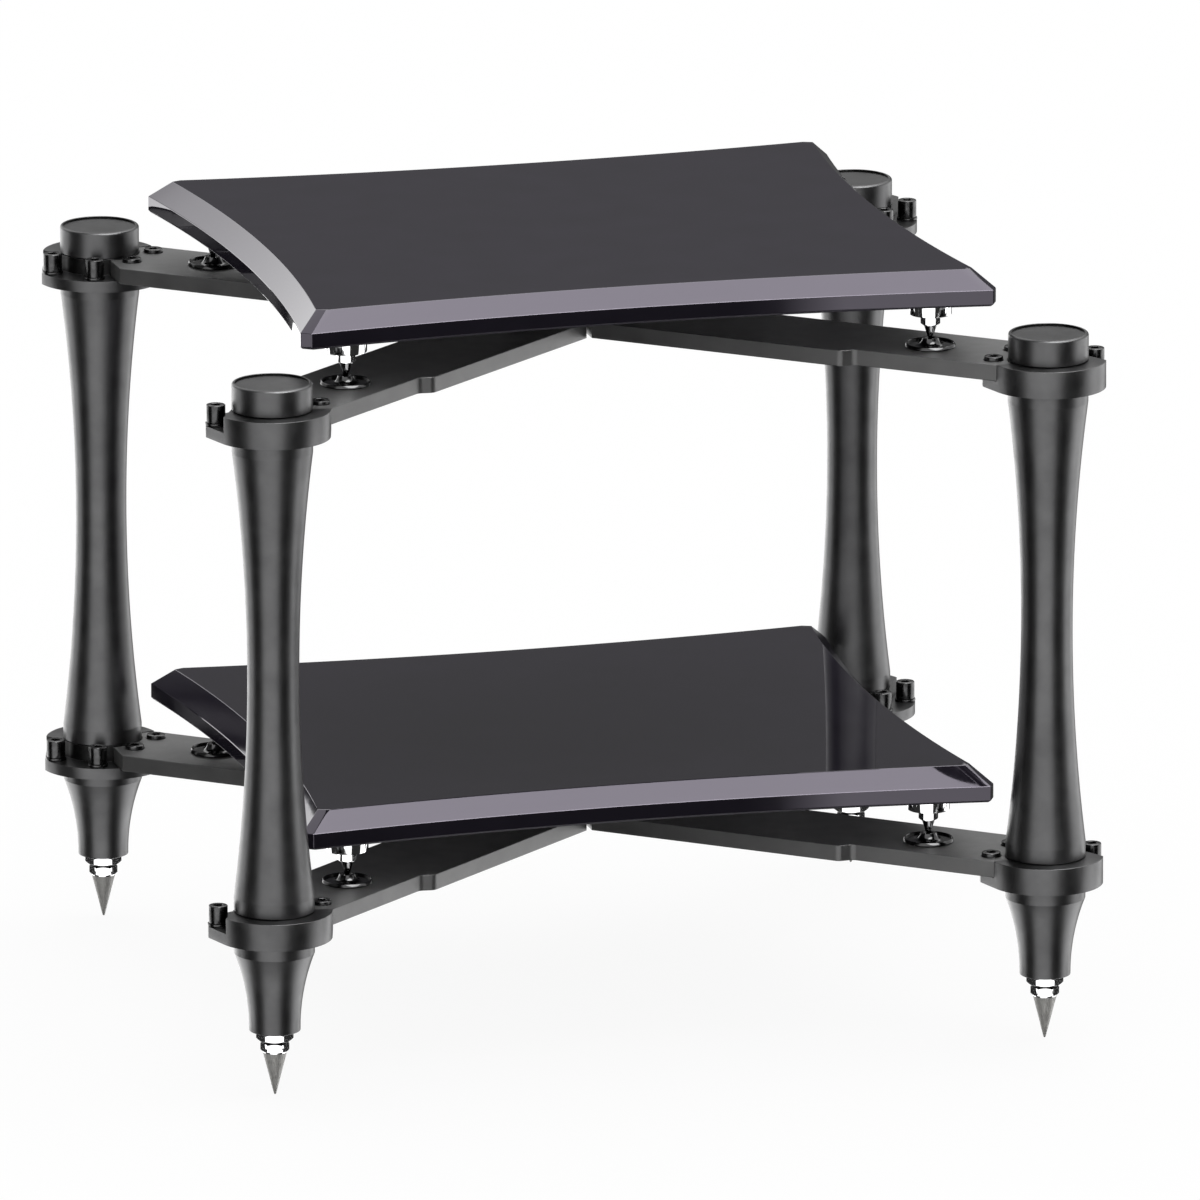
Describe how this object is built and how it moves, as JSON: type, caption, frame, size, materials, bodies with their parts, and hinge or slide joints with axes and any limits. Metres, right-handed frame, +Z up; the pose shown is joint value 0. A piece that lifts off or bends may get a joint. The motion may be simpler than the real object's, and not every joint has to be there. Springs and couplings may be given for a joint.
{
  "type": "audio equipment rack",
  "caption": "Two-tier audio rack with waisted black posts on spikes, diagonal arms and gloss black boards on spike and dish isolators.",
  "frame": {"origin": "on the floor under the middle of the rack, level with the tips of the floor spikes", "axes": "+X to the right along the wide side, +Y to the rear, +Z up"},
  "size_m": [0.6312, 0.5588, 0.5341],
  "materials": {
    "black_metal": "satin black anodised",
    "arm_metal": "satin black anodised plate",
    "board_black": "high gloss black",
    "dish_black": "gloss black",
    "chrome": "polished",
    "spike_steel": "dull grey turned steel",
    "rod_steel": "plain threaded rod"
  },
  "bodies": {
    "frame": {"lock_nut_front_left": "chrome", "foot_front_left": "black_metal", "column_front_left": "black_metal", "cap_front_left": "black_metal", "tie_rod_front_left": "rod_steel", "lock_nut_front_right": "chrome", "foot_front_right": "black_metal", "column_front_right": "black_metal", "cap_front_right": "black_metal", "tie_rod_front_right": "rod_steel", "lock_nut_rear_left": "chrome", "foot_rear_left": "black_metal", "column_rear_left": "black_metal", "cap_rear_left": "black_metal", "tie_rod_rear_left": "rod_steel", "lock_nut_rear_right": "chrome", "foot_rear_right": "black_metal", "column_rear_right": "black_metal", "cap_rear_right": "black_metal", "tie_rod_rear_right": "rod_steel", "collar_lower_front_left": "black_metal", "arm_lower_front_left": "arm_metal", "dish_lower_front_left": "dish_black", "collar_lower_front_right": "black_metal", "arm_lower_front_right": "arm_metal", "dish_lower_front_right": "dish_black", "collar_lower_rear_left": "black_metal", "arm_lower_rear_left": "arm_metal", "dish_lower_rear_left": "dish_black", "collar_lower_rear_right": "black_metal", "arm_lower_rear_right": "arm_metal", "dish_lower_rear_right": "dish_black", "hub_plate_lower": "arm_metal", "collar_upper_front_left": "black_metal", "arm_upper_front_left": "arm_metal", "dish_upper_front_left": "dish_black", "collar_upper_front_right": "black_metal", "arm_upper_front_right": "arm_metal", "dish_upper_front_right": "dish_black", "collar_upper_rear_left": "black_metal", "arm_upper_rear_left": "arm_metal", "dish_upper_rear_left": "dish_black", "collar_upper_rear_right": "black_metal", "arm_upper_rear_right": "arm_metal", "dish_upper_rear_right": "dish_black", "hub_plate_upper": "arm_metal"},
    "floor_spike_front_left": {"floor_spike_front_left": "spike_steel"},
    "floor_spike_front_right": {"floor_spike_front_right": "spike_steel"},
    "floor_spike_rear_left": {"floor_spike_rear_left": "spike_steel"},
    "floor_spike_rear_right": {"floor_spike_rear_right": "spike_steel"},
    "shelf_lower": {"board_spike_lower_front_left": "chrome", "board_spike_lower_front_right": "chrome", "board_spike_lower_rear_left": "chrome", "board_spike_lower_rear_right": "chrome", "shelf_board_lower": "board_black"},
    "shelf_upper": {"board_spike_upper_front_left": "chrome", "board_spike_upper_front_right": "chrome", "board_spike_upper_rear_left": "chrome", "board_spike_upper_rear_right": "chrome", "shelf_board_upper": "board_black"}
  },
  "joints": [
    {"name": "shelf_lower_lift", "type": "slide", "parent": "frame", "child": "shelf_lower", "axis": [0, 0, 1], "range_m": [0, 0.05]},
    {"name": "shelf_upper_lift", "type": "slide", "parent": "frame", "child": "shelf_upper", "axis": [0, 0, 1], "range_m": [0, 0.05]},
    {"name": "floor_spike_front_left_height", "type": "slide", "parent": "frame", "child": "floor_spike_front_left", "axis": [0, 0, -1], "range_m": [0, 0.008]},
    {"name": "floor_spike_front_right_height", "type": "slide", "parent": "frame", "child": "floor_spike_front_right", "axis": [0, 0, -1], "range_m": [0, 0.008]},
    {"name": "floor_spike_rear_left_height", "type": "slide", "parent": "frame", "child": "floor_spike_rear_left", "axis": [0, 0, -1], "range_m": [0, 0.008]},
    {"name": "floor_spike_rear_right_height", "type": "slide", "parent": "frame", "child": "floor_spike_rear_right", "axis": [0, 0, -1], "range_m": [0, 0.008]}
  ]
}
